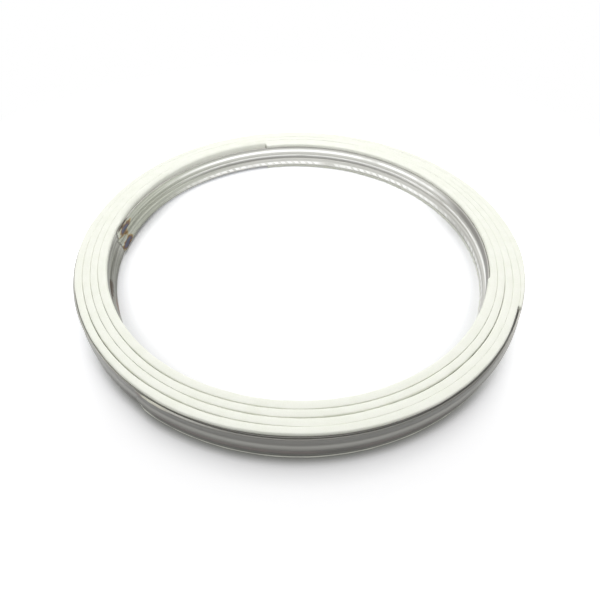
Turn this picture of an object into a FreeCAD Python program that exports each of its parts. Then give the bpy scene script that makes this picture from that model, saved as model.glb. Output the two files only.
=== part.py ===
import FreeCAD
import Part
import Sketcher
import os
from collections import namedtuple

# Wound exhaust pipe gasket, 47 x 54 x 4 mm.
# One profiled steel strip and one soft filler tape are rolled up together, flat side up.
# Millimetres. The ring lies on Z = 0, its bore's axis is Z, and angles are plan azimuths,
# counted from +X towards +Y. Both pieces wind outwards as the azimuth falls, which is
# clockwise from above. A turn runs evenly about the axis, then climbs onto the next layer
# where the strip's inner end lifts it, always over the same stretch of the ring.

SIZES = {
    "bore_radius": 23.4,
    "strip_thickness": 0.2,
    "strip_width": 3.2,
    "filler_thickness": 0.65,
    "filler_width": 4.0,
    "strip_turns": 5,
    "inner_end_azimuth": 176.5,
    "climb_sweep": 114.0,
    "lap_clearance": 0.03,
    "drop_azimuth": 2.0,
    "drop_sweep": 40.0,
    "filler_end_azimuth": -25.0,
    "outer_end_azimuth": -124.0,
    "weld_diameter": 0.8,
    "weld_inset": 1.9,
    "weld_spacing": 1.5,
    "weld_height": 1.0,
}

FULL_TURN = 360
RADIAL_PITCH = 90

doc = FreeCAD.newDocument("exhaust_gasket")

sheet = doc.addObject("Spreadsheet::Sheet", "sizes")
for row, (alias, value) in enumerate(SIZES.items(), start=1):
    sheet.set(f"A{row}", alias)
    sheet.set(f"B{row}", str(value))
    sheet.setAlias(f"B{row}", alias)
doc.recompute()

# Sizes that follow from the sheet and that several features share.
layout = doc.addObject("App::VarSet", "layout")


def work_out(name, formula):
    """Keep one derived size in the layout and return the expression that reads it."""
    layout.addProperty("App::PropertyFloat", name)
    layout.setExpression(name, formula)
    return f"layout.{name}"


PITCH = work_out("pitch", "sizes.strip_thickness + sizes.filler_thickness")
LAP = work_out("lap", "sizes.strip_thickness + sizes.lap_clearance")

# The climb starts so early that the strip clears its own inner end by the time it gets there.
CLIMB_BEND = work_out("climb_bend", "layout.pitch / (2 * (1 - cos(sizes.climb_sweep / 2)))")
CLIMB_LEAD = work_out("climb_lead", "acos(1 - layout.lap / layout.climb_bend) / 1 deg")
CLIMB_START = work_out("climb_start", "sizes.inner_end_azimuth + layout.climb_lead")
CLIMB_END = work_out("climb_end", "layout.climb_start - sizes.climb_sweep")

# Past the filler's end the last turn drops until it lies on the turn below.
DROP = work_out("drop", "layout.lap - layout.pitch")
DROP_BEND = work_out("drop_bend", "layout.drop / (2 * (1 - cos(sizes.drop_sweep / 2)))")
DROP_END = work_out("drop_end", "sizes.drop_azimuth - sizes.drop_sweep")
doc.recompute()

# A stretch of the winding: its centre, the radius of the strip's inner face, where it starts
# and how far it turns, each as an expression.
Stretch = namedtuple("Stretch", "centre_x centre_y radius start sweep")


def turn_radius(turn):
    """Radius of the strip's inner face on the even stretch of a turn, counted from 0."""
    return f"(sizes.bore_radius + {turn} * {PITCH})"


def even(radius, start, sweep):
    """A stretch about the bore's own axis."""
    return Stretch("0", "0", radius, start, sweep)


def step(radius, bend, rise, start, sweep):
    """Two tangent stretches that carry the winding to another radius without a kink."""
    middle = f"({start} - {sweep} / 2)"
    end = f"({start} - {sweep})"
    first = Stretch(f"-{bend} * cos({start})", f"-{bend} * sin({start})",
                    f"({radius} + {bend})", start, f"({sweep} / 2)")
    second = Stretch(f"{bend} * cos({end})", f"{bend} * sin({end})",
                     f"({radius} + {rise} - {bend})", middle, f"({sweep} / 2)")
    return [first, second]


def climb(turn):
    """The rise from the given turn onto the next one."""
    return step(turn_radius(turn), CLIMB_BEND, PITCH, CLIMB_START, "sizes.climb_sweep")


def between(start, end):
    """Sweep from one azimuth down to another that follows it within a turn."""
    return f"({start} - {end})"


def section(name, inner, outer, bottom, top):
    """A rectangle in the radial plane, X = 0 being the strip's inner face."""
    sketch = doc.addObject("Sketcher::SketchObject", name)
    sketch.Placement.Rotation = FreeCAD.Rotation(FreeCAD.Vector(1, 0, 0), RADIAL_PITCH)
    corners = [(inner, bottom), (outer, bottom), (outer, top), (inner, top)]
    points = [FreeCAD.Vector(float(sketch.evalExpression(x)), float(sketch.evalExpression(z)), 0)
              for x, z in corners]
    sides = len(points)
    for index, point in enumerate(points):
        sketch.addGeometry(Part.LineSegment(point, points[(index + 1) % sides]))
    for index in range(sides):
        sketch.addConstraint(Sketcher.Constraint("Coincident", index, 2, (index + 1) % sides, 1))
    for index, (x, z) in enumerate(corners):
        for kind, place, formula in (("DistanceX", points[index].x, x), ("DistanceY", points[index].y, z)):
            number = sketch.addConstraint(Sketcher.Constraint(kind, -1, 1, index, 1, place))
            sketch.setExpression(f"Constraints[{number}]", formula)
    return sketch


def wind(profile, stretch, name):
    """Turn a section through one stretch of the winding."""
    turned = doc.addObject("Part::Revolution", name)
    turned.Source = profile
    turned.Axis = FreeCAD.Vector(0, 0, -1)
    turned.Solid = True
    turned.setExpression("Base.x", f"-{stretch.radius}")
    turned.setExpression("Angle", stretch.sweep)
    turned.Placement.Rotation = FreeCAD.Rotation(FreeCAD.Vector(0, 0, 1), 1)
    turned.setExpression("Placement.Rotation.Angle", stretch.start)
    turned.setExpression("Placement.Base.x", f"{stretch.centre_x} + {stretch.radius} * cos({stretch.start})")
    turned.setExpression("Placement.Base.y", f"{stretch.centre_y} + {stretch.radius} * sin({stretch.start})")
    return turned


def join(shapes, name):
    """Fuse touching pieces into one solid."""
    joined = doc.addObject("Part::MultiFuse", name)
    joined.Shapes = shapes
    return joined


def spot_weld(name, azimuth, height, radius, length):
    """A round spot that ties two laps of the strip together, from mid wall to mid wall."""
    spot = doc.addObject("Part::Cylinder", name)
    spot.setExpression("Radius", "sizes.weld_diameter / 2")
    spot.setExpression("Height", length)
    out = f"({radius} + sizes.strip_thickness / 2)"
    spot.setExpression("Placement", (
        f"create(<<placement>>; create(<<vector>>; {out} * cos({azimuth}); {out} * sin({azimuth}); {height});"
        f" create(<<rotation>>; {azimuth}; {RADIAL_PITCH}; 0))"))
    return spot


strip_bottom = work_out("strip_bottom", "(sizes.filler_width - sizes.strip_width) / 2")
strip_top = work_out("strip_top", "(sizes.filler_width + sizes.strip_width) / 2")
doc.recompute()

strip_section = section("strip_section", "0", "sizes.strip_thickness", strip_bottom, strip_top)
filler_section = section("filler_section", "sizes.strip_thickness", PITCH, "0", "sizes.filler_width")
doc.recompute()

last = SIZES["strip_turns"]
route = [even(turn_radius(0), "sizes.inner_end_azimuth",
              between(f"sizes.inner_end_azimuth + {FULL_TURN}", CLIMB_START))]
for turn in range(1, last + 1):
    route += climb(turn - 1)
    if turn < last:
        route.append(even(turn_radius(turn), CLIMB_END, between(f"{CLIMB_END} + {FULL_TURN}", CLIMB_START)))
route.append(even(turn_radius(last), CLIMB_END, between(CLIMB_END, "sizes.drop_azimuth")))
landing = step(turn_radius(last), DROP_BEND, DROP, "sizes.drop_azimuth", "sizes.drop_sweep")
route += landing
route.append(even(f"({turn_radius(last)} + {DROP})", DROP_END, between(DROP_END, "sizes.outer_end_azimuth")))
strip_pieces = [wind(strip_section, stretch, f"strip_stretch_{number}") for number, stretch in enumerate(route)]

welds = []
inset = "(sizes.weld_inset / sizes.bore_radius * 180 / pi)"
inner_weld = f"(sizes.inner_end_azimuth - {inset})"
outer_weld = f"(sizes.outer_end_azimuth + {inset})"
inner_lift = f"({CLIMB_BEND} * (1 - cos({CLIMB_LEAD} + {inset})))"
for number in range(2):
    height = f"(sizes.weld_height + {number} * sizes.weld_spacing)"
    welds.append(spot_weld(f"inner_weld_{number}", inner_weld, height, turn_radius(0), inner_lift))
    welds.append(spot_weld(f"outer_weld_{number}", outer_weld, height, turn_radius(last - 1), LAP))
strip = join(strip_pieces + welds, "metal_strip")

# The filler lies on the strip's outer face and starts where the first climb ends.
path = [even(turn_radius(0), CLIMB_END, between(f"{CLIMB_END} + {FULL_TURN}", CLIMB_START))]
for turn in range(1, last):
    path += climb(turn - 1)
    if turn < last - 1:
        path.append(even(turn_radius(turn), CLIMB_END, between(f"{CLIMB_END} + {FULL_TURN}", CLIMB_START)))
path.append(even(turn_radius(last - 1), CLIMB_END, between(CLIMB_END, "sizes.drop_azimuth")))
filler_pieces = [wind(filler_section, stretch, f"filler_stretch_{number}") for number, stretch in enumerate(path)]

# Under the dropping turn the filler is squeezed thin: it fills what is left between the laps.
wide_section = section("wide_section", "sizes.strip_thickness", f"{PITCH} + sizes.strip_thickness",
                       "0", "sizes.filler_width")
under_section = section("under_section", f"-{PITCH}", "0", "0", "sizes.filler_width")
above_lap = wind(wide_section, even(turn_radius(last - 1), "sizes.drop_azimuth",
                                    between("sizes.drop_azimuth", "sizes.filler_end_azimuth")), "above_lap")
below_lap = join([wind(under_section, stretch, f"below_lap_{number}") for number, stretch in enumerate(landing)],
                 "below_lap")
squeezed = doc.addObject("Part::Common", "squeezed_end")
squeezed.Base = above_lap
squeezed.Tool = below_lap
filler = join(filler_pieces + [squeezed], "filler_tape")
doc.recompute()

for item in doc.Objects:
    if "Invalid" in item.State or "Error" in item.State:
        raise RuntimeError(f"{item.Name} failed: {item.State}")

os.makedirs("parts", exist_ok=True)
for piece in (strip, filler):
    piece.Label = piece.Name
    shape = piece.Shape
    if shape.isNull() or not shape.isValid() or len(shape.Solids) != 1:
        raise RuntimeError(f"{piece.Label} is not one valid solid")
    shape.exportStep(f"parts/{piece.Label}.step")
    print(piece.Label, "volume", round(shape.Volume, 2), "box", shape.BoundBox)
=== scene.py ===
# %% [markdown]
# A wound gasket seals the joint between an exhaust pipe and its port. A thin folded steel
# strip and a soft ivory mineral tape are rolled up together, flat side up, so that the tape
# stands a little proud of the steel on both faces and is pressed down when the joint is bolted.
# The solids of this part already exist. This lesson lays a detailed skin over each of them.

# %% Load the solids and keep their box
import math

import bpy
import numpy as np
from mathutils import Matrix


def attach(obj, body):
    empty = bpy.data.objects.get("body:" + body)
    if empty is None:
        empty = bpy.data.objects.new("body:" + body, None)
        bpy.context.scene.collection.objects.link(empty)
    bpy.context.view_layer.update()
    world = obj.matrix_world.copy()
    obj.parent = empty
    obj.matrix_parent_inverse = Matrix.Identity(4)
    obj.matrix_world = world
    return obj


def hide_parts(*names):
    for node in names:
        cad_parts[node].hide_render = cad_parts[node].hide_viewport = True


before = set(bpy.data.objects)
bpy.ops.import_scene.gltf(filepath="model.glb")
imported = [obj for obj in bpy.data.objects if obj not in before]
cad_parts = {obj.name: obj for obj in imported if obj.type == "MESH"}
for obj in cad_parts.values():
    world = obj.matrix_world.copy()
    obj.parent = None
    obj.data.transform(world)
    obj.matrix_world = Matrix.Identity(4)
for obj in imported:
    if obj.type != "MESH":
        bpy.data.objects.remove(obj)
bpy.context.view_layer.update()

# %% [markdown]
# Everything follows from a few sizes of the winding: how thick the strip and the tape are,
# where each of them starts and ends, and where a turn climbs onto the next one. They are
# written once, in millimetres, and only the finished points are turned into metres. Angles
# are plan azimuths in degrees. A heading counts the degrees that have been wound, clockwise
# from the strip's free inner end, so it grows from 0 to about six turns.

# %% Sizes of the winding in millimetres and degrees
MM = 0.001
BORE_RADIUS = 23.4
STRIP_THICKNESS = 0.2
STRIP_BOTTOM, STRIP_TOP = 0.4, 3.6
TAPE_THICKNESS = 0.65
TAPE_WIDTH = 4.0
PITCH = STRIP_THICKNESS + TAPE_THICKNESS
LAP_CLEARANCE = 0.03
LAP = STRIP_THICKNESS + LAP_CLEARANCE
LAST_TURN = 5

INNER_END, OUTER_END = 176.5, -124.0
TORN_END = -25.0
CLIMB_SWEEP = 114.0
CLIMB_BEND = PITCH / (2 * (1 - math.cos(math.radians(CLIMB_SWEEP / 2))))
CLIMB_LEAD = math.degrees(math.acos(1 - LAP / CLIMB_BEND))
DROP_AZIMUTH, DROP_SWEEP = 2.0, 40.0
DROP_START = 360 * LAST_TURN + INNER_END - DROP_AZIMUTH
DROP_BEND = (PITCH - LAP) / (2 * (1 - math.cos(math.radians(DROP_SWEEP / 2))))
STRIP_END = 360 * LAST_TURN + INNER_END - OUTER_END
TAPE_START = CLIMB_SWEEP - CLIMB_LEAD
TAPE_END = 360 * (LAST_TURN - 1) + INNER_END - TORN_END
print("strip heading to", STRIP_END, "tape from", round(TAPE_START, 2), "to", TAPE_END)

# %% [markdown]
# Both pieces follow one path. A plain spiral would be the easy formula, but a hand-wound
# gasket runs in true circles and climbs only over its own inner end, always over the same
# stretch of the ring. So the path is a chain of arcs: even turns about the bore's axis, and
# pairs of arcs with shifted centres that carry it from one circle to the next with no kink.

# %% The path as centre and radius at every heading
def winding(heading):
    """Centre and radius of the strip's inner face.

    An even turn has its centre on the axis and the radius of its layer. A climb has two arcs.
    The first one's centre is shifted back by the bend from the axis and its radius is longer by
    the bend, the second one's centre is shifted forward and its radius is shorter. The last
    turn drops in the same way, with both signs reversed.
    """
    heading = np.asarray(heading, float)
    turn = np.floor((heading + CLIMB_LEAD) / 360)
    along = heading + CLIMB_LEAD - 360 * turn
    rising = (turn >= 1) & (along < CLIMB_SWEEP)
    arcs = [rising & (along < CLIMB_SWEEP / 2), rising & (along >= CLIMB_SWEEP / 2)]
    radius = BORE_RADIUS + PITCH * np.maximum(turn, 0)
    radius = np.select(arcs, [radius - PITCH + CLIMB_BEND, radius - CLIMB_BEND], radius)
    shift = np.select(arcs, [-CLIMB_BEND, CLIMB_BEND], 0.0)
    toward = np.where(arcs[0], INNER_END + CLIMB_LEAD, INNER_END + CLIMB_LEAD - CLIMB_SWEEP)

    fallen = heading - DROP_START
    outer = BORE_RADIUS + PITCH * LAST_TURN
    landed = outer - PITCH + LAP
    arcs = [(fallen >= 0) & (fallen < DROP_SWEEP / 2),
            (fallen >= DROP_SWEEP / 2) & (fallen < DROP_SWEEP),
            fallen >= DROP_SWEEP]
    radius = np.select(arcs, [outer - DROP_BEND, landed + DROP_BEND, landed], radius)
    shift = np.select(arcs, [DROP_BEND, -DROP_BEND, 0.0], shift)
    toward = np.select(arcs[:2], [INNER_END - DROP_START, INNER_END - DROP_START - DROP_SWEEP], toward)
    toward = np.radians(toward)
    return shift * np.cos(toward), shift * np.sin(toward), radius


def on_path(heading, offset, height):
    """Points in metres: the centre, plus radius and offset along the azimuth, at the height."""
    centre_x, centre_y, radius = winding(heading)
    azimuth = np.radians(INNER_END - heading)
    x = centre_x + (radius + offset) * np.cos(azimuth)
    y = centre_y + (radius + offset) * np.sin(azimuth)
    return np.stack([x, y, np.broadcast_to(height, x.shape)], axis=-1) * MM


def length_along(heading):
    """Wound length in metres: the sum of radius times angle between neighbouring stations."""
    radius = winding(heading)[2]
    steps = np.radians(np.diff(heading)) * (radius[1:] + radius[:-1]) / 2
    return np.concatenate([[0.0], np.cumsum(steps)]) * MM


def from_axis(heading):
    """Distance and azimuth of the strip's inner face, as seen from the bore's axis."""
    centre_x, centre_y, radius = winding(heading)
    azimuth = np.radians(INNER_END - heading)
    x, y = centre_x + radius * np.cos(azimuth), centre_y + radius * np.sin(azimuth)
    return np.hypot(x, y), np.degrees(np.arctan2(y, x))


print("strip is", round(length_along(np.linspace(0, STRIP_END, 5000))[-1], 3), "m long")

# %% [markdown]
# Nothing on a hand-wound ring is quite even. The lines between the turns waver, the edges are
# ragged, and the tape bulges here and there. One helper gives all of that: random numbers with
# a fixed seed, spaced along a length and joined by a smooth curve. It is worked out once for
# each use, so the ring is the same every time the file runs.

# %% A smooth uneven number along a length
def uneven(position, spacing, seed):
    """Smooth noise from -1 to 1: seeded random knots at a spacing, eased from one to the next."""
    position = np.asarray(position, float) / spacing
    knots = np.random.RandomState(seed).uniform(-1, 1, int(np.ceil(position.max())) + 3)
    index = np.floor(position).astype(int)
    part = position - index
    part = part * part * (3 - 2 * part)
    return knots[index] * (1 - part) + knots[index + 1] * part


print("uneven sample", uneven(np.arange(4.0), 2.5, 1).round(2))

# %% [markdown]
# Both pieces are a cross-section carried along the path, and the section may change on the
# way. The stations run along the grid's rows and the section's points along its columns. The
# columns close on themselves, and a ladder of faces between the section's two sides closes
# each end. A map holds the length along the piece and the height, so that a finish can follow
# the strip, and an attribute says which side of it a point is on.

# %% A section carried along the path
def carried(name, heading, offset, height, side):
    """A closed tube: grid of stations by points, wrapped in the section and capped at both ends."""
    rows, around = offset.shape
    points = on_path(heading[:, None] + np.zeros(around), offset, height)
    row, column = np.meshgrid(np.arange(rows - 1), np.arange(around), indexing="ij")
    following = (column + 1) % around
    walls = np.stack([row * around + column, (row + 1) * around + column,
                      (row + 1) * around + following, row * around + following], axis=-1).reshape(-1, 4)
    low = np.arange(around // 2 - 1)
    start = np.stack([low, low + 1, around - 2 - low, around - 1 - low], axis=-1)
    end = start[:, ::-1] + (rows - 1) * around
    faces = np.concatenate([walls, start, end])

    mesh = bpy.data.meshes.new(name)
    mesh.vertices.add(rows * around)
    mesh.vertices.foreach_set("co", points.reshape(-1))
    mesh.loops.add(faces.size)
    mesh.loops.foreach_set("vertex_index", faces.reshape(-1).astype(np.int32))
    mesh.polygons.add(len(faces))
    mesh.polygons.foreach_set("loop_start", np.arange(0, faces.size, 4, dtype=np.int32))
    mesh.polygons.foreach_set("use_smooth", np.arange(len(faces)) < len(walls))
    mesh.update(calc_edges=True)

    along = length_along(heading)[:, None] + np.zeros(around)
    chart = np.stack([along, height * MM], axis=-1).reshape(-1, 2)[faces.reshape(-1)]
    mesh.uv_layers.new(name="length_and_height").uv.foreach_set("vector", chart.reshape(-1))
    side = np.broadcast_to(side, offset.shape)
    mesh.attributes.new("side", "FLOAT", "POINT").data.foreach_set("value", side.reshape(-1))
    mesh.validate()

    piece = bpy.data.objects.new(name, mesh)
    bpy.context.scene.collection.objects.link(piece)
    print(name, len(faces) * 2, "triangles")
    return piece

# %% [markdown]
# The steel strip is rolled with a V along its middle. The fold springs when the joint is
# pressed, and it keys the tape in place. Its line is a triangle with soft corners. It could be
# cut into the strip afterwards, but as a formula of the height it serves the strip and the
# tape alike, and the layers nest.

# %% The fold as a formula of the height
FOLD_HEIGHT = 2.08
FOLD_HALF = 0.46
FOLD_DEPTH = 0.26
FOLD_SOFTNESS = 0.16


def fold(height):
    """Outward step: half of |t+1| - 2|t| + |t-1|, each |x| softened to a root of x squared plus a bit."""
    t = (height - FOLD_HEIGHT) / FOLD_HALF
    soft = [np.hypot(t + step, FOLD_SOFTNESS) for step in (-1, 0, 1)]
    return FOLD_DEPTH * (soft[0] - 2 * soft[1] + soft[2]) / 2


print("fold stands out", round(float(fold(FOLD_HEIGHT)), 3), "mm")

# %% [markdown]
# The strip's section goes up its inner face, over the rounded top edge, down the outer face
# and back under the bottom edge. Stations lie closer together over the first and last few
# millimetres, where the spot welds dent the metal. The slit edges are a little ragged, and
# past the outer lap, where nothing holds the last full turn, its two edges have sprung out. Near
# the free inner end the foot of the first turn leans into the bore in the same way. Both cut
# ends are ground a little thinner.

# %% The steel strip
STEPS_PER_TURN = 400
STRIP_START = -1.8
FINE_ENDS = 14

# The length and height of each spot weld, and the depth and reach of its dent.
WELDS = [(2.0, 2.55), (1.5, 0.9)]
DENT_DEPTH, DENT_REACH = 0.05, 0.45

# How far the strip's top edge springs out, its foot flares out and its foot leans in, by heading.
SPRUNG = [(1736, 0.0), (1754, 0.06), (1760, 0.10), (1770, 0.17), (1784, 0.20), (1797, 0.19), (1804, 0.0)]
FLARED = [(1740, 0.0), (1756, 0.20), (1768, 0.22), (1782, 0.08), (1792, 0.0)]
LEANING = [(STRIP_START, 0.26), (8, 0.22), (24, 0.05), (40, 0.0), (312, 0.0), (334, 0.24),
           (358, 0.30), (364, 0.0)]


def stations(start, end, fine=0.0):
    """Headings at an even step, four times as close over the fine stretch at both ends."""
    even = np.arange(start, end, 360 / STEPS_PER_TURN)
    close = np.arange(0, fine, 90 / STEPS_PER_TURN)
    return np.unique(np.concatenate([even, start + close, end - close, [end]]).round(4))


def looked_up(table, heading):
    """A table's value at every heading, as a column, straight from one entry to the next."""
    return np.interp(heading, *np.array(table).T)[:, None]


def nearing(value, far, near):
    """0 at far, 1 at near, straight in between and held there beyond."""
    return np.clip((value - far) / (near - far), 0, 1)


def weld_dents(length, height):
    """Shallow round dents: each is the depth times the bell curve of the distance from its weld."""
    distances = [np.hypot(length - weld_length, height - weld_height) for weld_length, weld_height in WELDS]
    return sum(DENT_DEPTH * np.exp(-(distance / DENT_REACH) ** 2) for distance in distances)


def strip_section(heading):
    """Offsets and heights of the strip's section at every station, and how far through the strip."""
    face = STRIP_BOTTOM + np.array([0.03, 0.4, 0.85, 1.08, 1.2, 1.32, 1.46, 1.58,
                                    1.68, 1.78, 1.9, 2.04, 2.16, 2.35, 2.8, 3.17])
    height = np.concatenate([face, [STRIP_TOP, STRIP_TOP], face[::-1], [STRIP_BOTTOM, STRIP_BOTTOM]])
    through = np.concatenate([np.zeros(len(face)), [0.15, 0.85], np.ones(len(face)), [0.85, 0.15]])
    length = length_along(heading)[:, None] / MM
    ragged_top = 0.012 * uneven(length, 0.6, 11) + 0.015 * uneven(length, 4.0, 12)
    ragged_bottom = 0.012 * uneven(length, 0.7, 13) + 0.015 * uneven(length, 5.0, 14)
    share = nearing(height, STRIP_BOTTOM, STRIP_TOP)
    height = height + np.minimum(share * ragged_top, 0) + np.maximum((1 - share) * ragged_bottom, 0)

    sprung = looked_up(SPRUNG, heading) * nearing(height, 2.7, STRIP_TOP) ** 1.5
    leaning = looked_up(LEANING, heading) * nearing(height, 2.2, STRIP_BOTTOM)
    flared = looked_up(FLARED, heading) * nearing(height, 1.6, STRIP_BOTTOM)
    ground = 0.13 * nearing(heading, STRIP_START + 0.9, STRIP_START)[:, None] * (1 - through)
    ground = ground - 0.14 * nearing(heading, STRIP_END - 4, STRIP_END)[:, None] * through
    offset = through * STRIP_THICKNESS + fold(height) + sprung + flared + ground - leaning
    return offset + weld_dents(length, height) * (1 - through), height, through


strip_heading = stations(STRIP_START, STRIP_END, FINE_ENDS)
strip_winding = carried("strip_winding", strip_heading, *strip_section(strip_heading))

# %% [markdown]
# The tape fills the room between two turns of the strip and spreads over their edges in soft
# lips, so that from above almost only ivory shows. Where two lips don't quite meet, the line
# between the turns opens and turns dark. The table gives that opening in millimetres along
# the strip, by turn and azimuth: bold, plain, faint or closed lines as on a real ring.

# %% How far the line between two turns stands open
def at(turn, azimuth):
    """The heading at which the strip passes an azimuth in a turn counted from 0."""
    return 360 * turn + (INNER_END - azimuth) % 360


def by_turn(turns):
    """A table of headings and values, from pairs of azimuth and value in each turn."""
    return [(at(turn, azimuth), value) for turn, pairs in turns.items() for azimuth, value in pairs]


LINE = by_turn({
    1: [(103, 0.004), (-15, 0.008), (-35, 0.013), (-48, 0.028), (-66, 0.034), (-86, 0.018),
        (-104, 0.038), (-116, 0.054), (-134, 0.040), (-152, 0.022), (-172, 0.008)],
    2: [(175, 0.004), (-5, 0.006), (-15, 0.018), (-26, 0.033), (-40, 0.055), (-56, 0.078), (-74, 0.060),
        (-88, 0.030), (-104, 0.042), (-122, 0.020), (-146, 0.018), (-163, 0.024)],
    3: [(175, 0.004), (0, 0.008), (-12, 0.014), (-24, 0.004), (-86, 0.004), (-98, 0.018),
        (-112, 0.045), (-134, 0.080), (-147, 0.040), (-160, 0.012)],
    4: [(174, 0.006), (90, 0.006), (60, 0.010), (20, 0.004), (-25, 0.006)],
})

# How far the first band's lip reaches over the strip towards the bore, with its one step.
BORE_LIP = by_turn({
    0: [(103, 0.17), (60, 0.18), (35, 0.12), (15, 0.06), (-16, 0.05),
        (-17, 0.26), (-35, 0.30), (-70, 0.20), (-160, 0.18), (178, 0.20)],
})

# How far the lip reaches over the strip that climbs across its own inner end.
WEDGE_LIP = by_turn({1: [(176, 0.30), (160, 0.26), (140, 0.14), (120, 0.06), (106, 0.01), (103, 0.08)]})

# How far the outermost band's lip reaches over the last turns.
RIM_LIP = by_turn({
    3: [(-25, 0.06), (-60, 0.12), (-76, 0.04), (-92, 0.01), (-114, 0.13), (-136, 0.03),
        (-150, 0.07), (-164, 0.19), (178, 0.20)],
    4: [(172, 0.08), (120, 0.10), (0, 0.12), (-25, 0.10)],
})

# How far that band's lower lip stands out under the strip, where one or two laps lie over it.
RIM_FOOT = by_turn({3: [(-25, 0.43), (-123, 0.43), (-125, 0.22), (178, 0.20)], 4: [(-25, 0.20)]})

# About how many millimetres are wound in a degree, for noise that needs no exact length.
MM_PER_DEGREE = 0.44
THINNEST_LINE = 0.003


def opening(heading):
    """Width of the line over the strip at a heading: the table's value, uneven by a quarter."""
    width = looked_up(LINE, heading)
    length = heading[:, None] * MM_PER_DEGREE
    change = 0.3 * uneven(length, 2.2, 21) + 0.25 * uneven(length, 0.8, 22)
    return np.maximum(0.75 * width * (1 + change), THINNEST_LINE)


print("bold line", round(float(opening(np.array([at(2, -60)]))[0, 0]), 3), "mm")

# %% [markdown]
# The tape's section has two faces that follow the fold and a crown on each edge. A half circle
# would be too round and a straight cut too sharp, so the crown is a flat between two
# shoulders, and each shoulder is a quarter of a superellipse with a width and a fullness of
# its own. Over the first climb the inner shoulder is long and nearly straight, because there
# the tape slumps into the wedge between the strip's inner end and the turn that climbs over it.

# %% The tape
# The fullness of a shoulder, the gaps at the strip's edge and faces, how much higher the tips of
# two lips stand where they touch, and the widest line over which they still do.
BOXY = 2.4
LIP_GAP, FACE_GAP = 0.02, 0.004
TIP_RISE, TOUCHING = 0.33, 0.03

# Where the first band stops facing the bore, where it enters the wedge over the strip's inner
# end, and where the band becomes the outermost one.
BORE_LIP_END = at(1, 103.6)
WEDGE_START = at(1, INNER_END)
RIM_START = at(3, TORN_END)


def crown(inner, outer, inner_tip, outer_tip, top, inner_shoulder, outer_shoulder, fullness):
    """Offsets and heights from the inner lip over the top to the outer lip.

    In a shoulder the run is 1 minus a power of the cosine of an angle and the rise is a power
    of its sine. A high fullness makes it boxy, 1 makes it a straight slope. Where the tape is
    narrow, both shoulders shrink to fit.
    """
    narrow = np.minimum(1, 0.9 * (outer - inner) / (inner_shoulder + outer_shoulder))
    angle = np.linspace(0, np.pi / 2, 6)
    cosine, sine = np.cos(angle).clip(0, 1), np.sin(angle).clip(0, 1)
    run, rise = 1 - cosine ** (2 / fullness), sine ** (2 / fullness)
    outer_run, outer_rise = 1 - cosine ** (2 / BOXY), sine ** (2 / BOXY)
    offset = np.concatenate([inner + inner_shoulder * narrow * run,
                             (outer - outer_shoulder * narrow * outer_run)[:, ::-1]], axis=1)
    height = np.concatenate([inner_tip + (top - inner_tip) * rise,
                             (outer_tip + (top - outer_tip) * outer_rise)[:, ::-1]], axis=1)
    return offset, height


def tape_room(heading):
    """Offset of the tape's outer face: the pitch, and under the dropping turn what room it leaves."""
    distance, azimuth = from_axis(np.linspace(DROP_START - 5, DROP_START + DROP_SWEEP, 400))
    room = np.interp(heading, at(LAST_TURN - 1, azimuth), distance) - BORE_RADIUS - PITCH * (LAST_TURN - 1)
    return np.where(heading < DROP_START - 360, PITCH, room)[:, None]


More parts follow.
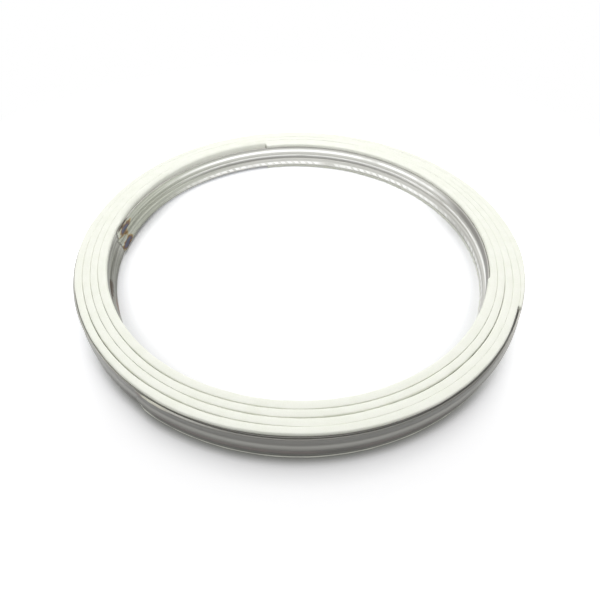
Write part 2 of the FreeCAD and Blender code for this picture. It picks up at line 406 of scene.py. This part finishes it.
def tape_section(heading):
    """Offsets and heights of the tape's section at every station."""
    room, inner_line, outer_line = tape_room(heading), opening(heading), opening(heading + 360)
    strip_at = from_axis(heading)[0][:, None]
    station = heading[:, None]
    length = station * MM_PER_DEGREE
    one = np.ones_like(length)

    # Between two turns each lip stops at the line over the strip.
    waver = 0.03 * uneven(length, 5.0, 31)
    outer_waver = 0.03 * uneven(length + 360 * MM_PER_DEGREE, 5.0, 31)
    inner_lip = (STRIP_THICKNESS - inner_line) * 0.5 - waver
    outer_lip = (STRIP_THICKNESS - outer_line) * 0.5 + outer_waver
    shoulder, outer_shoulder = [0.03 + 2.6 * line for line in (inner_line, outer_line)]
    inner_tip, outer_tip = [STRIP_TOP + LIP_GAP + TIP_RISE * nearing(line, TOUCHING, 0.0)
                            for line in (inner_line, outer_line)]

    # Along the bore there is no band to meet, so the lips spread freely.
    bore_side = station < BORE_LIP_END
    bore_reach = looked_up(BORE_LIP, heading) + 0.02 * uneven(length, 1.1, 32)
    inner_lip = np.where(bore_side, bore_reach, inner_lip)
    bore_foot = 0.20 + 0.05 * uneven(length, 0.4, 37) + 0.02 * uneven(length, 2.0, 38)
    under_lip = np.where(bore_side, bore_foot, inner_lip)
    under_shoulder = np.where(bore_side, 0.12, shoulder)
    shoulder = np.where(bore_side, 0.2, shoulder)
    inner_tip = np.where(bore_side, STRIP_TOP + LIP_GAP, inner_tip)

    # Over the first climb the tape slumps into the wedge beside the strip's inner end.
    over_wedge = (station > WEDGE_START) & bore_side
    covering = nearing(station, WEDGE_START, WEDGE_START + 10)
    wedge_reach = looked_up(WEDGE_LIP, heading) + 0.02 * uneven(length, 1.4, 36)
    under_lip = np.where(over_wedge, 0.1, under_lip)
    inner_lip = np.where(over_wedge, np.maximum(strip_at - BORE_RADIUS - 0.01, 0.22), inner_lip)
    shoulder = np.where(over_wedge, np.maximum(inner_lip - wedge_reach, 0.12), shoulder)
    fullness = np.where(over_wedge, BOXY - 1.3 * covering, BOXY * one)
    wedge_tip = inner_tip - np.where(over_wedge, 0.85 * covering, 0)

    # Round the outside the lips spread freely again.
    outside = station > RIM_START
    rim_foot = looked_up(RIM_FOOT, heading) + 0.02 * uneven(length, 0.9, 39)
    under_outer_lip = np.where(outside, rim_foot, outer_lip)
    rim_reach = looked_up(RIM_LIP, heading) + 0.015 * uneven(length, 1.3, 33)
    outer_lip = np.where(outside, rim_reach, outer_lip)
    outer_shoulder = np.where(outside, 0.16, outer_shoulder)
    outer_tip = np.where(outside, STRIP_TOP + LIP_GAP, outer_tip)

    top = TAPE_WIDTH - 0.02 - 0.02 * uneven(length, 6.0, 34) - 0.008 * uneven(length, 0.9, 35)
    face = np.array([0.45, 1.0, 1.35, 1.6, 1.75, 1.92, 2.08, 2.24, 2.41, 2.56, 2.8, 3.55])
    up_offset, up_height = (STRIP_THICKNESS + FACE_GAP + fold(face)) * one, face * one
    down_offset, down_height = room - FACE_GAP + fold(face[::-1]) * one, face[::-1] * one
    over_offset, over_height = crown(STRIP_THICKNESS - inner_lip, room + outer_lip, wedge_tip, outer_tip,
                                     top, shoulder, outer_shoulder, fullness)
    under_offset, under_height = crown(STRIP_THICKNESS - under_lip, room + under_outer_lip, inner_tip,
                                       outer_tip, top, under_shoulder, outer_shoulder, BOXY * one)
    under_height = TAPE_WIDTH - under_height
    offset = np.concatenate([up_offset, over_offset, down_offset, under_offset[:, ::-1]], axis=1)
    height = np.concatenate([up_height, over_height, down_height, under_height[:, ::-1]], axis=1)
    return offset, height


tape_heading = stations(TAPE_START, TAPE_END)
tape_winding = carried("tape_winding", tape_heading, *tape_section(tape_heading), 0.0)

# %% [markdown]
# The new pieces stand for the plain solids, which are hidden. They ride on the one rigid body
# of the part.

# %% Tie the pieces to the part
for piece, node, slot in ((strip_winding, "metal_strip", "strip_steel"),
                          (tape_winding, "filler_tape", "filler")):
    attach(piece, "root")
    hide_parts(node)
    print(piece.name, "stands for", node)

# %% [markdown]
# Shader maths reads best as ordinary expressions. A small class wraps a socket, and adding,
# multiplying or subtracting it adds the maths node that does so. A second class is the tree
# that the nodes go into, a material's or the sky's: one method adds a node from its type, its
# settings and the values of its sockets, and two more mix colours and run through them.

# %% Shader maths in plain expressions
class Signal:
    """One output socket of a shader tree, with arithmetic."""

    def __init__(self, tree, socket):
        self.tree, self.socket = tree, socket

    def maths(self, operation, *others):
        """Add a maths node that takes this signal first and the others after it."""
        values = {number: value for number, value in enumerate((self, *others))}
        return self.tree.node("ShaderNodeMath", {"operation": operation}, values)

    def __add__(self, other):
        return self.maths("ADD", other)

    def __mul__(self, other):
        return self.maths("MULTIPLY", other)

    def __sub__(self, other):
        return self.maths("SUBTRACT", other)

    def __rsub__(self, other):
        return self.tree.node("ShaderNodeMath", {"operation": "SUBTRACT"}, {0: other, 1: self})

    def __truediv__(self, other):
        return self.maths("DIVIDE", other)

    def __abs__(self):
        return self.maths("ABSOLUTE")

    __radd__ = __add__
    __rmul__ = __mul__

    def between(self, low, high):
        """0 below low, 1 above high, and a smooth rise from one to the other."""
        return self.tree.node("ShaderNodeMapRange", {"interpolation_type": "SMOOTHSTEP"},
                              {"Value": self, "From Min": low, "From Max": high})


class Tree:
    """An emptied shader tree, to which every call adds a node."""

    def __init__(self, tree):
        self.nodes, self.links = tree.nodes, tree.links
        self.nodes.clear()

    def node(self, kind, settings=None, values=None, output=0):
        """Add a node: settings first, then a value or a link for each named socket."""
        made = self.nodes.new(kind)
        for key, value in (settings or {}).items():
            setattr(made, key, value)
        for key, value in (values or {}).items():
            if isinstance(value, Signal):
                self.links.new(value.socket, made.inputs[key])
            else:
                made.inputs[key].default_value = value
        return Signal(self, made.outputs[output])

    def blend(self, share, first, second):
        """A colour between two colours."""
        colours = {key: value if isinstance(value, Signal) else (*value, 1)
                   for key, value in ((6, first), (7, second))}
        return self.node("ShaderNodeMix", {"data_type": "RGBA"}, {0: share, **colours}, output=2)

    def ramp(self, place, stops):
        """A colour that runs through stops, each of them a place and a colour."""
        colour = self.node("ShaderNodeValToRGB", {}, {0: place})
        elements = colour.socket.node.color_ramp.elements
        while len(elements) < len(stops):
            elements.new(0.5)
        for element, (position, shade) in zip(elements, stops):
            element.position, element.color = position, (*shade, 1)
        return colour

    def close(self, kind, surface):
        """Link the surface to a new output node."""
        self.links.new(surface.socket, self.nodes.new(kind).inputs["Surface"])


class Finish(Tree):
    """A material and its shader tree."""

    def __init__(self, name):
        self.material = bpy.data.materials.new(name)
        self.material.use_nodes = True
        super().__init__(self.material.node_tree)

    def done(self, surface):
        """Close the tree and return the material."""
        self.close("ShaderNodeOutputMaterial", surface)
        print("finish", self.material.name, len(self.nodes), "nodes")
        return self.material

# %% [markdown]
# Cold-rolled strip is dull grey steel with fine lines along its length. Bright bands along the
# flats are a painted reflection of the white table, and darker lines where each flat meets the
# fold are painted shade. Short slanted marks of the feed roll cross the lower band. The outer
# wall is painted darker as shade, with two lighter painted highlights along it. Towards its
# inner end the bore wall is painted in greenish shade, darker still before the next turn covers
# it, and it is scorched there; two spot welds have left the colours of heated steel.
# A few long stretches are only the light's doing, and are painted paler or darker as well.
# A picture can't follow a roll, so all of it is worked out from the length and the height.

# %% Strip steel
TEMPER_COLOURS = [(0.0, (0.05, 0.06, 0.09)), (0.32, (0.07, 0.09, 0.16)), (0.5, (0.10, 0.06, 0.09)),
                  (0.66, (0.13, 0.075, 0.04)), (0.80, (0.26, 0.16, 0.06)), (0.92, (0.42, 0.34, 0.17)),
                  (1.0, (0.45, 0.43, 0.35))]
EDGE_HIGHLIGHT = (0.50, 0.495, 0.46)
UPPER_REFLECTION, FOLD_REFLECTION, LOWER_REFLECTION = 2.97, 1.98, 0.82

# The strip's length in millimetres, so END - 10 is the place 10 mm before its outer end.
END = float(length_along(strip_heading)[-1]) / MM


def strip_steel():
    """The strip's finish, worked out from the length and the height in millimetres."""
    finish = Finish("strip_steel_finish")
    chart = finish.node("ShaderNodeUVMap", {"uv_map": "length_and_height"})
    along, height = [1000 * finish.node("ShaderNodeSeparateXYZ", {}, {0: chart}, output=axis)
                     for axis in "XY"]
    outer = finish.node("ShaderNodeAttribute", {"attribute_name": "side"}, output="Fac").between(0.4, 0.6)
    inner = 1 - outer

    def noise(along_scale, height_scale, detail=2.0):
        """Noise with so many waves to a millimetre along the strip and up it."""
        place = {0: along * along_scale, 1: height * height_scale, 2: outer * 7.3}
        place = finish.node("ShaderNodeCombineXYZ", {}, place)
        return finish.node("ShaderNodeTexNoise", {},
                           {"Vector": place, "Scale": 1.0, "Detail": detail, "Roughness": 0.6})

    def track(middle, half, soft):
        """1 in a band of heights: the distance from its middle is less than its half width."""
        return 1 - abs(height - middle).between(half - soft, half + soft)

    def stretch(start, full, fading, gone):
        """1 in a stretch of the length, from full to fading, and 0 before start and after gone."""
        return along.between(start, full) * (1 - along.between(fading, gone))

    # Plain grey with fine lines. The outer wall is painted darker as shade, and two lighter bands on it, at
    # the fold's crest and near the foot, are painted highlights. One long stretch of it is painted paler as
    # light.
    lines, clouds, patches = noise(0.06, 9.0, 3.0), noise(0.5, 0.9), noise(0.16, 0.25)
    colour = finish.blend(lines.between(0.3, 0.7), (0.48, 0.475, 0.44), (0.62, 0.615, 0.575))
    colour = finish.blend(0.9 * outer, colour, (0.165, 0.163, 0.152))
    painted_highlights = 0.4 * track(2.42, 0.16, 0.14) + 0.6 * track(0.6, 0.2, 0.15)
    colour = finish.blend(outer * painted_highlights, colour, (0.46, 0.46, 0.43))
    pale = stretch(END - 176, END - 162, END - 147, END - 142)
    colour = finish.blend(0.55 * pale * outer, colour, (0.42, 0.42, 0.40))

    # Greenish painted shade on the bore wall near the inner end, and darker painted shade just before the
    # next turn covers the bore wall.
    streaks = lines.between(0.35, 0.65)
    inner_end_shade = (1 - along.between(8, 32)) * inner
    inner_end_shade_streaks = finish.blend(streaks, (0.24, 0.255, 0.20), (0.46, 0.48, 0.39))
    colour = finish.blend(0.75 * inner_end_shade, colour, inner_end_shade_streaks)
    before_turn_shade = stretch(112, 134, 144, 150) * inner
    before_turn_shade_streaks = finish.blend(streaks, (0.07, 0.07, 0.055), (0.34, 0.345, 0.29))
    colour = finish.blend(0.85 * before_turn_shade, colour, before_turn_shade_streaks)

    # Painted reflections of the white table in bands along the flats, broken by slanted feed marks.
    reflection_patches = patches.between(0.28, 0.5) * stretch(8, 27, 108, 124) * inner
    shaded = stretch(58, 67, 78, 88) * inner
    reflections = track(UPPER_REFLECTION, 0.17, 0.1) * (1 - 0.9 * shaded) + track(LOWER_REFLECTION, 0.22, 0.1)
    reflections = (reflections + 0.8 * track(FOLD_REFLECTION, 0.13, 0.08)) * reflection_patches
    slant = (along * 0.9 + height * 0.8).maths("FRACT")
    dashes = abs(slant - 0.5).between(0.22, 0.36) * clouds.between(0.3, 0.6)
    reflections = reflections * (1 - 0.75 * dashes * track(LOWER_REFLECTION, 0.22, 0.08))
    colour = finish.blend(reflections, colour, (0.90, 0.90, 0.87))
    # Painted shade at the fold's bends, and darker painted shade over one stretch of the bore wall.
    crease_shade = track(2.6, 0.03, 0.06) + 0.7 * track(1.74, 0.03, 0.06) + 0.5 * track(1.35, 0.16, 0.1)
    colour = finish.blend(0.4 * crease_shade, colour, (0.22, 0.215, 0.20))
    colour = finish.blend(0.75 * shaded * track(3.1, 0.4, 0.2), colour, (0.10, 0.092, 0.08))
    # A warmer tone on the outer wall's lower flat.
    warm = outer * track(1.3, 0.3, 0.15) * patches.between(0.35, 0.55)
    colour = finish.blend(0.6 * warm, colour, (0.31, 0.262, 0.25))

    # The slit edges and the cut end: a painted highlight where the light catches them, and painted shade on
    # the edges of the outer laps under the tape's lip.
    cut_end = 1 - along.between(0.0, 0.05)
    edges = cut_end + height.between(3.53, 3.58) + 0.6 * (1 - height.between(0.40, 0.44)) * (1 - 0.8 * outer)
    rim = along.between(END - 222, END - 214)
    edge_shade = finish.blend(0.4 * rim, (0.17, 0.165, 0.155), (0.32, 0.315, 0.295))
    edge_shade = finish.blend(pale + along.between(END - 11, END - 4), edge_shade, EDGE_HIGHLIGHT)
    edge_colour = finish.blend(outer * along.between(20, 40) + rim, EDGE_HIGHLIGHT, edge_shade)
    colour = finish.blend(edges, colour, edge_colour)

    blots = noise(1.1, 2.2, 3.0)

    def spot(along_middle, height_middle, along_reach, height_reach):
        """Distance from a middle, 1 at the reach, made uneven by blots."""
        across, up = (along - along_middle) / along_reach, (height - height_middle) / height_reach
        return (across * across + up * up).maths("SQRT") + 1.3 * (blots - 0.5)

    # Two heat-tinted welds, burnt and rusty spots, and a smear of fibre at the outer end.
    heat = spot(2.1, 2.6, 1.9, 0.85).maths("MINIMUM", spot(1.4, 0.9, 1.9, 0.62))
    heated = (1 - heat.between(0.8, 1.05)) * inner
    colour = finish.blend(0.9 * heated, colour, finish.ramp(heat, TEMPER_COLOURS))
    char = spot(1.6, 3.55, 2.4, 0.3).maths("MINIMUM", spot(138.6, 2.0, 2.2, 0.8))
    colour = finish.blend(0.85 * (1 - char.between(0.5, 1.0)) * inner, colour, (0.06, 0.04, 0.025))
    rusty = (1 - spot(136.6, 0.7, 1.7, 0.5).between(0.5, 1.0)) * inner
    colour = finish.blend(0.55 * rusty, colour, (0.27, 0.14, 0.09))
    burnt = (1 - spot(END - 0.5, 3.3, 0.8, 0.45).between(0.5, 1.0)) * outer
    colour = finish.blend(0.4 * burnt, colour, (0.16, 0.10, 0.07))
    smear = height.between(3.36, 3.46) * stretch(END - 4.6, END - 3.2, END - 1.2, END - 0.7)
    colour = finish.blend(0.75 * smear, colour, (0.66, 0.65, 0.55))

    # Painted pale and dull beside the tape's torn end, where strong light burns the wall out.
    burnt_out_light = stretch(END - 62, END - 58, END - 49, END - 34)
    colour = finish.blend(0.9 * burnt_out_light, colour, (0.78, 0.77, 0.72))
    metal = 0.92 - 0.9 * smear - 0.85 * burnt_out_light - 0.8 * cut_end
    rough = 0.30 + 0.16 * clouds + 0.2 * edges - 0.08 * reflections + 0.1 * heated + 0.4 * (smear + burnt_out_light)
    bump = finish.node("ShaderNodeBump", {}, {"Strength": 0.3, "Distance": 0.00002, "Height": lines})
    return finish.done(finish.node("ShaderNodeBsdfPrincipled", {}, {
        "Base Color": colour, "Metallic": metal, "Roughness": rough, "Normal": bump}))


strip_winding.data.materials.append(strip_steel())

# %% [markdown]
# The tape is a matt mineral paper: fibres and grains a few hundredths of a millimetre across.
# It could be one flat ivory, but soft clouds and a fine grain that also lifts the surface a
# little make it read as pressed fibre from close up.

# %% Mineral tape
def mineral_tape():
    """The tape's finish: clouds, and a grain that lightens the colour and lifts the surface."""
    finish = Finish("mineral_tape_finish")
    where = finish.node("ShaderNodeTexCoord", output="Object")
    grain = finish.node("ShaderNodeTexNoise", {},
                        {"Vector": where, "Scale": 9000.0, "Detail": 3.0, "Roughness": 0.6})
    clouds = finish.node("ShaderNodeTexNoise", {}, {"Vector": where, "Scale": 700.0, "Detail": 2.0})
    colour = finish.blend(clouds.between(0.3, 0.7), (0.845, 0.86, 0.765), (0.875, 0.885, 0.805))
    colour = finish.blend(0.35 * grain.between(0.35, 0.65), colour, (0.93, 0.945, 0.865))
    bump = finish.node("ShaderNodeBump", {}, {"Strength": 0.35, "Distance": 0.00004, "Height": grain})
    return finish.done(finish.node("ShaderNodeBsdfPrincipled", {}, {
        "Base Color": colour, "Roughness": 0.85, "Specular IOR Level": 0.25, "Normal": bump}))


tape_winding.data.materials.append(mineral_tape())

# %% [markdown]
# The ring lies on a white table. The table keeps its shadow, and a glow that only the camera
# and the steel's reflections see makes it white, so that it throws no extra light onto the
# ring. Close to the ring the glow fades and the table's colour is painted darker, by how much
# of the table's surroundings is covered: a painted shade in which the ring sits firmly. The
# glow is also weaker in front of the ring than behind it. Far away the table is plain white.

# %% White table
BLACK, WHITE = (0.0, 0.0, 0.0), (1.0, 1.0, 1.0)
TABLE_REACH = 3.0


def white_table():
    """The table's finish, by the distance from the ring's middle in metres."""
    finish = Finish("white_table_finish")
    seen = finish.node("ShaderNodeLightPath", output="Is Camera Ray")
    mirrored = finish.node("ShaderNodeLightPath", output="Is Glossy Ray")
    shown = seen.maths("MAXIMUM", mirrored)
    where = finish.node("ShaderNodeTexCoord", output="Object")
    depth = finish.node("ShaderNodeSeparateXYZ", {}, {0: where}, output="Y")
    radius = finish.node("ShaderNodeVectorMath", {"operation": "LENGTH"}, {0: where}, output="Value")
    outside, far = radius.between(0.0230, 0.0250), radius.between(0.045, 0.070)
    near, wide = [finish.node("ShaderNodeAmbientOcclusion", {"samples": 12},
                              {"Distance": distance}, output="AO") for distance in (0.0014, 0.0045)]

    # The shade of contact, in front of the ring and behind it, and a wider one in the bore.
    in_front, behind = 1 - depth.between(-0.024, -0.012), outside * depth.between(0.012, 0.020)
    contact = (1 - near.between(0.45, 0.95)) * (in_front + behind)
    dim = (1 - wide.between(0.5, 1.0)) * (1 - depth.between(0.006, 0.018)) * (1 - outside)
    colour = finish.blend(shown, (0.78, 0.78, 0.77), WHITE)
    colour = finish.blend(contact, finish.blend(0.3 * dim, colour, (0.62, 0.64, 0.68)), (0.40, 0.40, 0.39))
    colour = finish.blend(far * shown, colour, BLACK)
    # The glow is weaker in front of the ring than behind it, which keeps the shadow in front deeper: painted
    # shade.
    lift = finish.blend(depth.between(-0.026, -0.002), (0.10, 0.10, 0.105), (0.42, 0.43, 0.45))
    lift = finish.blend(far, finish.blend(contact + dim, lift, BLACK), WHITE)
    lit = finish.node("ShaderNodeBsdfDiffuse", {}, {"Color": colour})
    glow = finish.node("ShaderNodeEmission", {}, {"Color": finish.blend(shown, BLACK, lift)})
    return finish.done(finish.node("ShaderNodeAddShader", {}, {0: lit, 1: glow}))


floor_mesh = bpy.data.meshes.new("floor")
corners = [(x * TABLE_REACH, y * TABLE_REACH, 0) for x, y in ((-1, -1), (1, -1), (1, 1), (-1, 1))]
floor_mesh.from_pydata(corners, [], [(0, 1, 2, 3)])
floor_mesh.materials.append(white_table())
floor = bpy.data.objects.new("floor", floor_mesh)
bpy.context.scene.collection.objects.link(floor)

# %% [markdown]
# The light is a large soft lamp above the ring with weak ones low behind it and beside it, in
# a sky that is a little brighter behind than in front. The camera sees that sky as plain white.

# %% Lamps and sky
def facing(place, right, up, back):
    """The matrix of a lamp or a camera at a place, from the directions of its own axes."""
    return Matrix.Translation(place) @ Matrix((right, up, back)).transposed().to_4x4()


def lamp(name, place, size, power):
    """A square lamp that looks at the middle of the ring: metres and watts."""
    light = bpy.data.lights.new(name, "AREA")
    light.size, light.energy = size, power
    made = bpy.data.objects.new(name, light)
    away = np.array(place) / np.linalg.norm(place)
    right = np.cross((0.0, 1.0, 0.0), away)
    right = right / np.linalg.norm(right)
    made.matrix_world = facing(place, right, np.cross(away, right), away)
    bpy.context.scene.collection.objects.link(made)
    return made


key = lamp("key_lamp", (-0.01, 0.045, 0.20), 0.16, 0.19)
rear = lamp("rear_lamp", (0.0, 0.10, 0.06), 0.05, 0.021)
sides = [lamp(name, (x, 0.0, 0.035), 0.03, 0.004)
         for name, x in (("left_lamp", -0.085), ("right_lamp", 0.085))]

world = bpy.data.worlds.new("studio")
bpy.context.scene.world = world
world.use_nodes = True
sky = Tree(world.node_tree)
direction = sky.node("ShaderNodeTexCoord", output="Generated")
backward = sky.node("ShaderNodeSeparateXYZ", {}, {0: direction}, output="Y")
share = sky.node("ShaderNodeMapRange", {}, {"Value": backward, "From Min": -1.0, "From Max": 1.0})
level = sky.blend(share, (0.45, 0.45, 0.45), (0.75, 0.75, 0.75))
seen = sky.node("ShaderNodeLightPath", output="Is Camera Ray")
background = sky.node("ShaderNodeBackground", {}, {"Color": sky.blend(seen, level, WHITE)})
sky.close("ShaderNodeOutputWorld", background)
bpy.context.scene.view_settings.view_transform = "Standard"
print("lit by", [light.name for light in (key, rear, *sides)])

# %% [markdown]
# The camera stands in front of the ring and looks down at 47 degrees, five and a half
# centimetres from the point that it looks at, with a slight tilt of the picture. So close to
# a small ring, the nearest distance that it draws has to be well below the usual tenth of a
# metre.

# %% Camera
ELEVATION = math.radians(47.31)
TILT = math.radians(0.956)
AIM = np.array([0.000281, -0.007243, 0.0])
DISTANCE = 0.05528
ahead = np.array([0, math.cos(ELEVATION), -math.sin(ELEVATION)])
level_right = np.array([1.0, 0.0, 0.0])
level_up = np.cross(level_right, ahead)
right = math.cos(TILT) * level_right + math.sin(TILT) * level_up
up = math.cos(TILT) * level_up - math.sin(TILT) * level_right
lens = bpy.data.cameras.new("camera")
lens.sensor_width, lens.lens, lens.clip_start = 36.0, 27.0, 0.001
camera = bpy.data.objects.new("camera", lens)
camera.matrix_world = facing(AIM - DISTANCE * ahead, right, up, -ahead)
bpy.context.scene.collection.objects.link(camera)
bpy.context.scene.camera = camera
print("camera at", [round(value, 4) for value in camera.location])
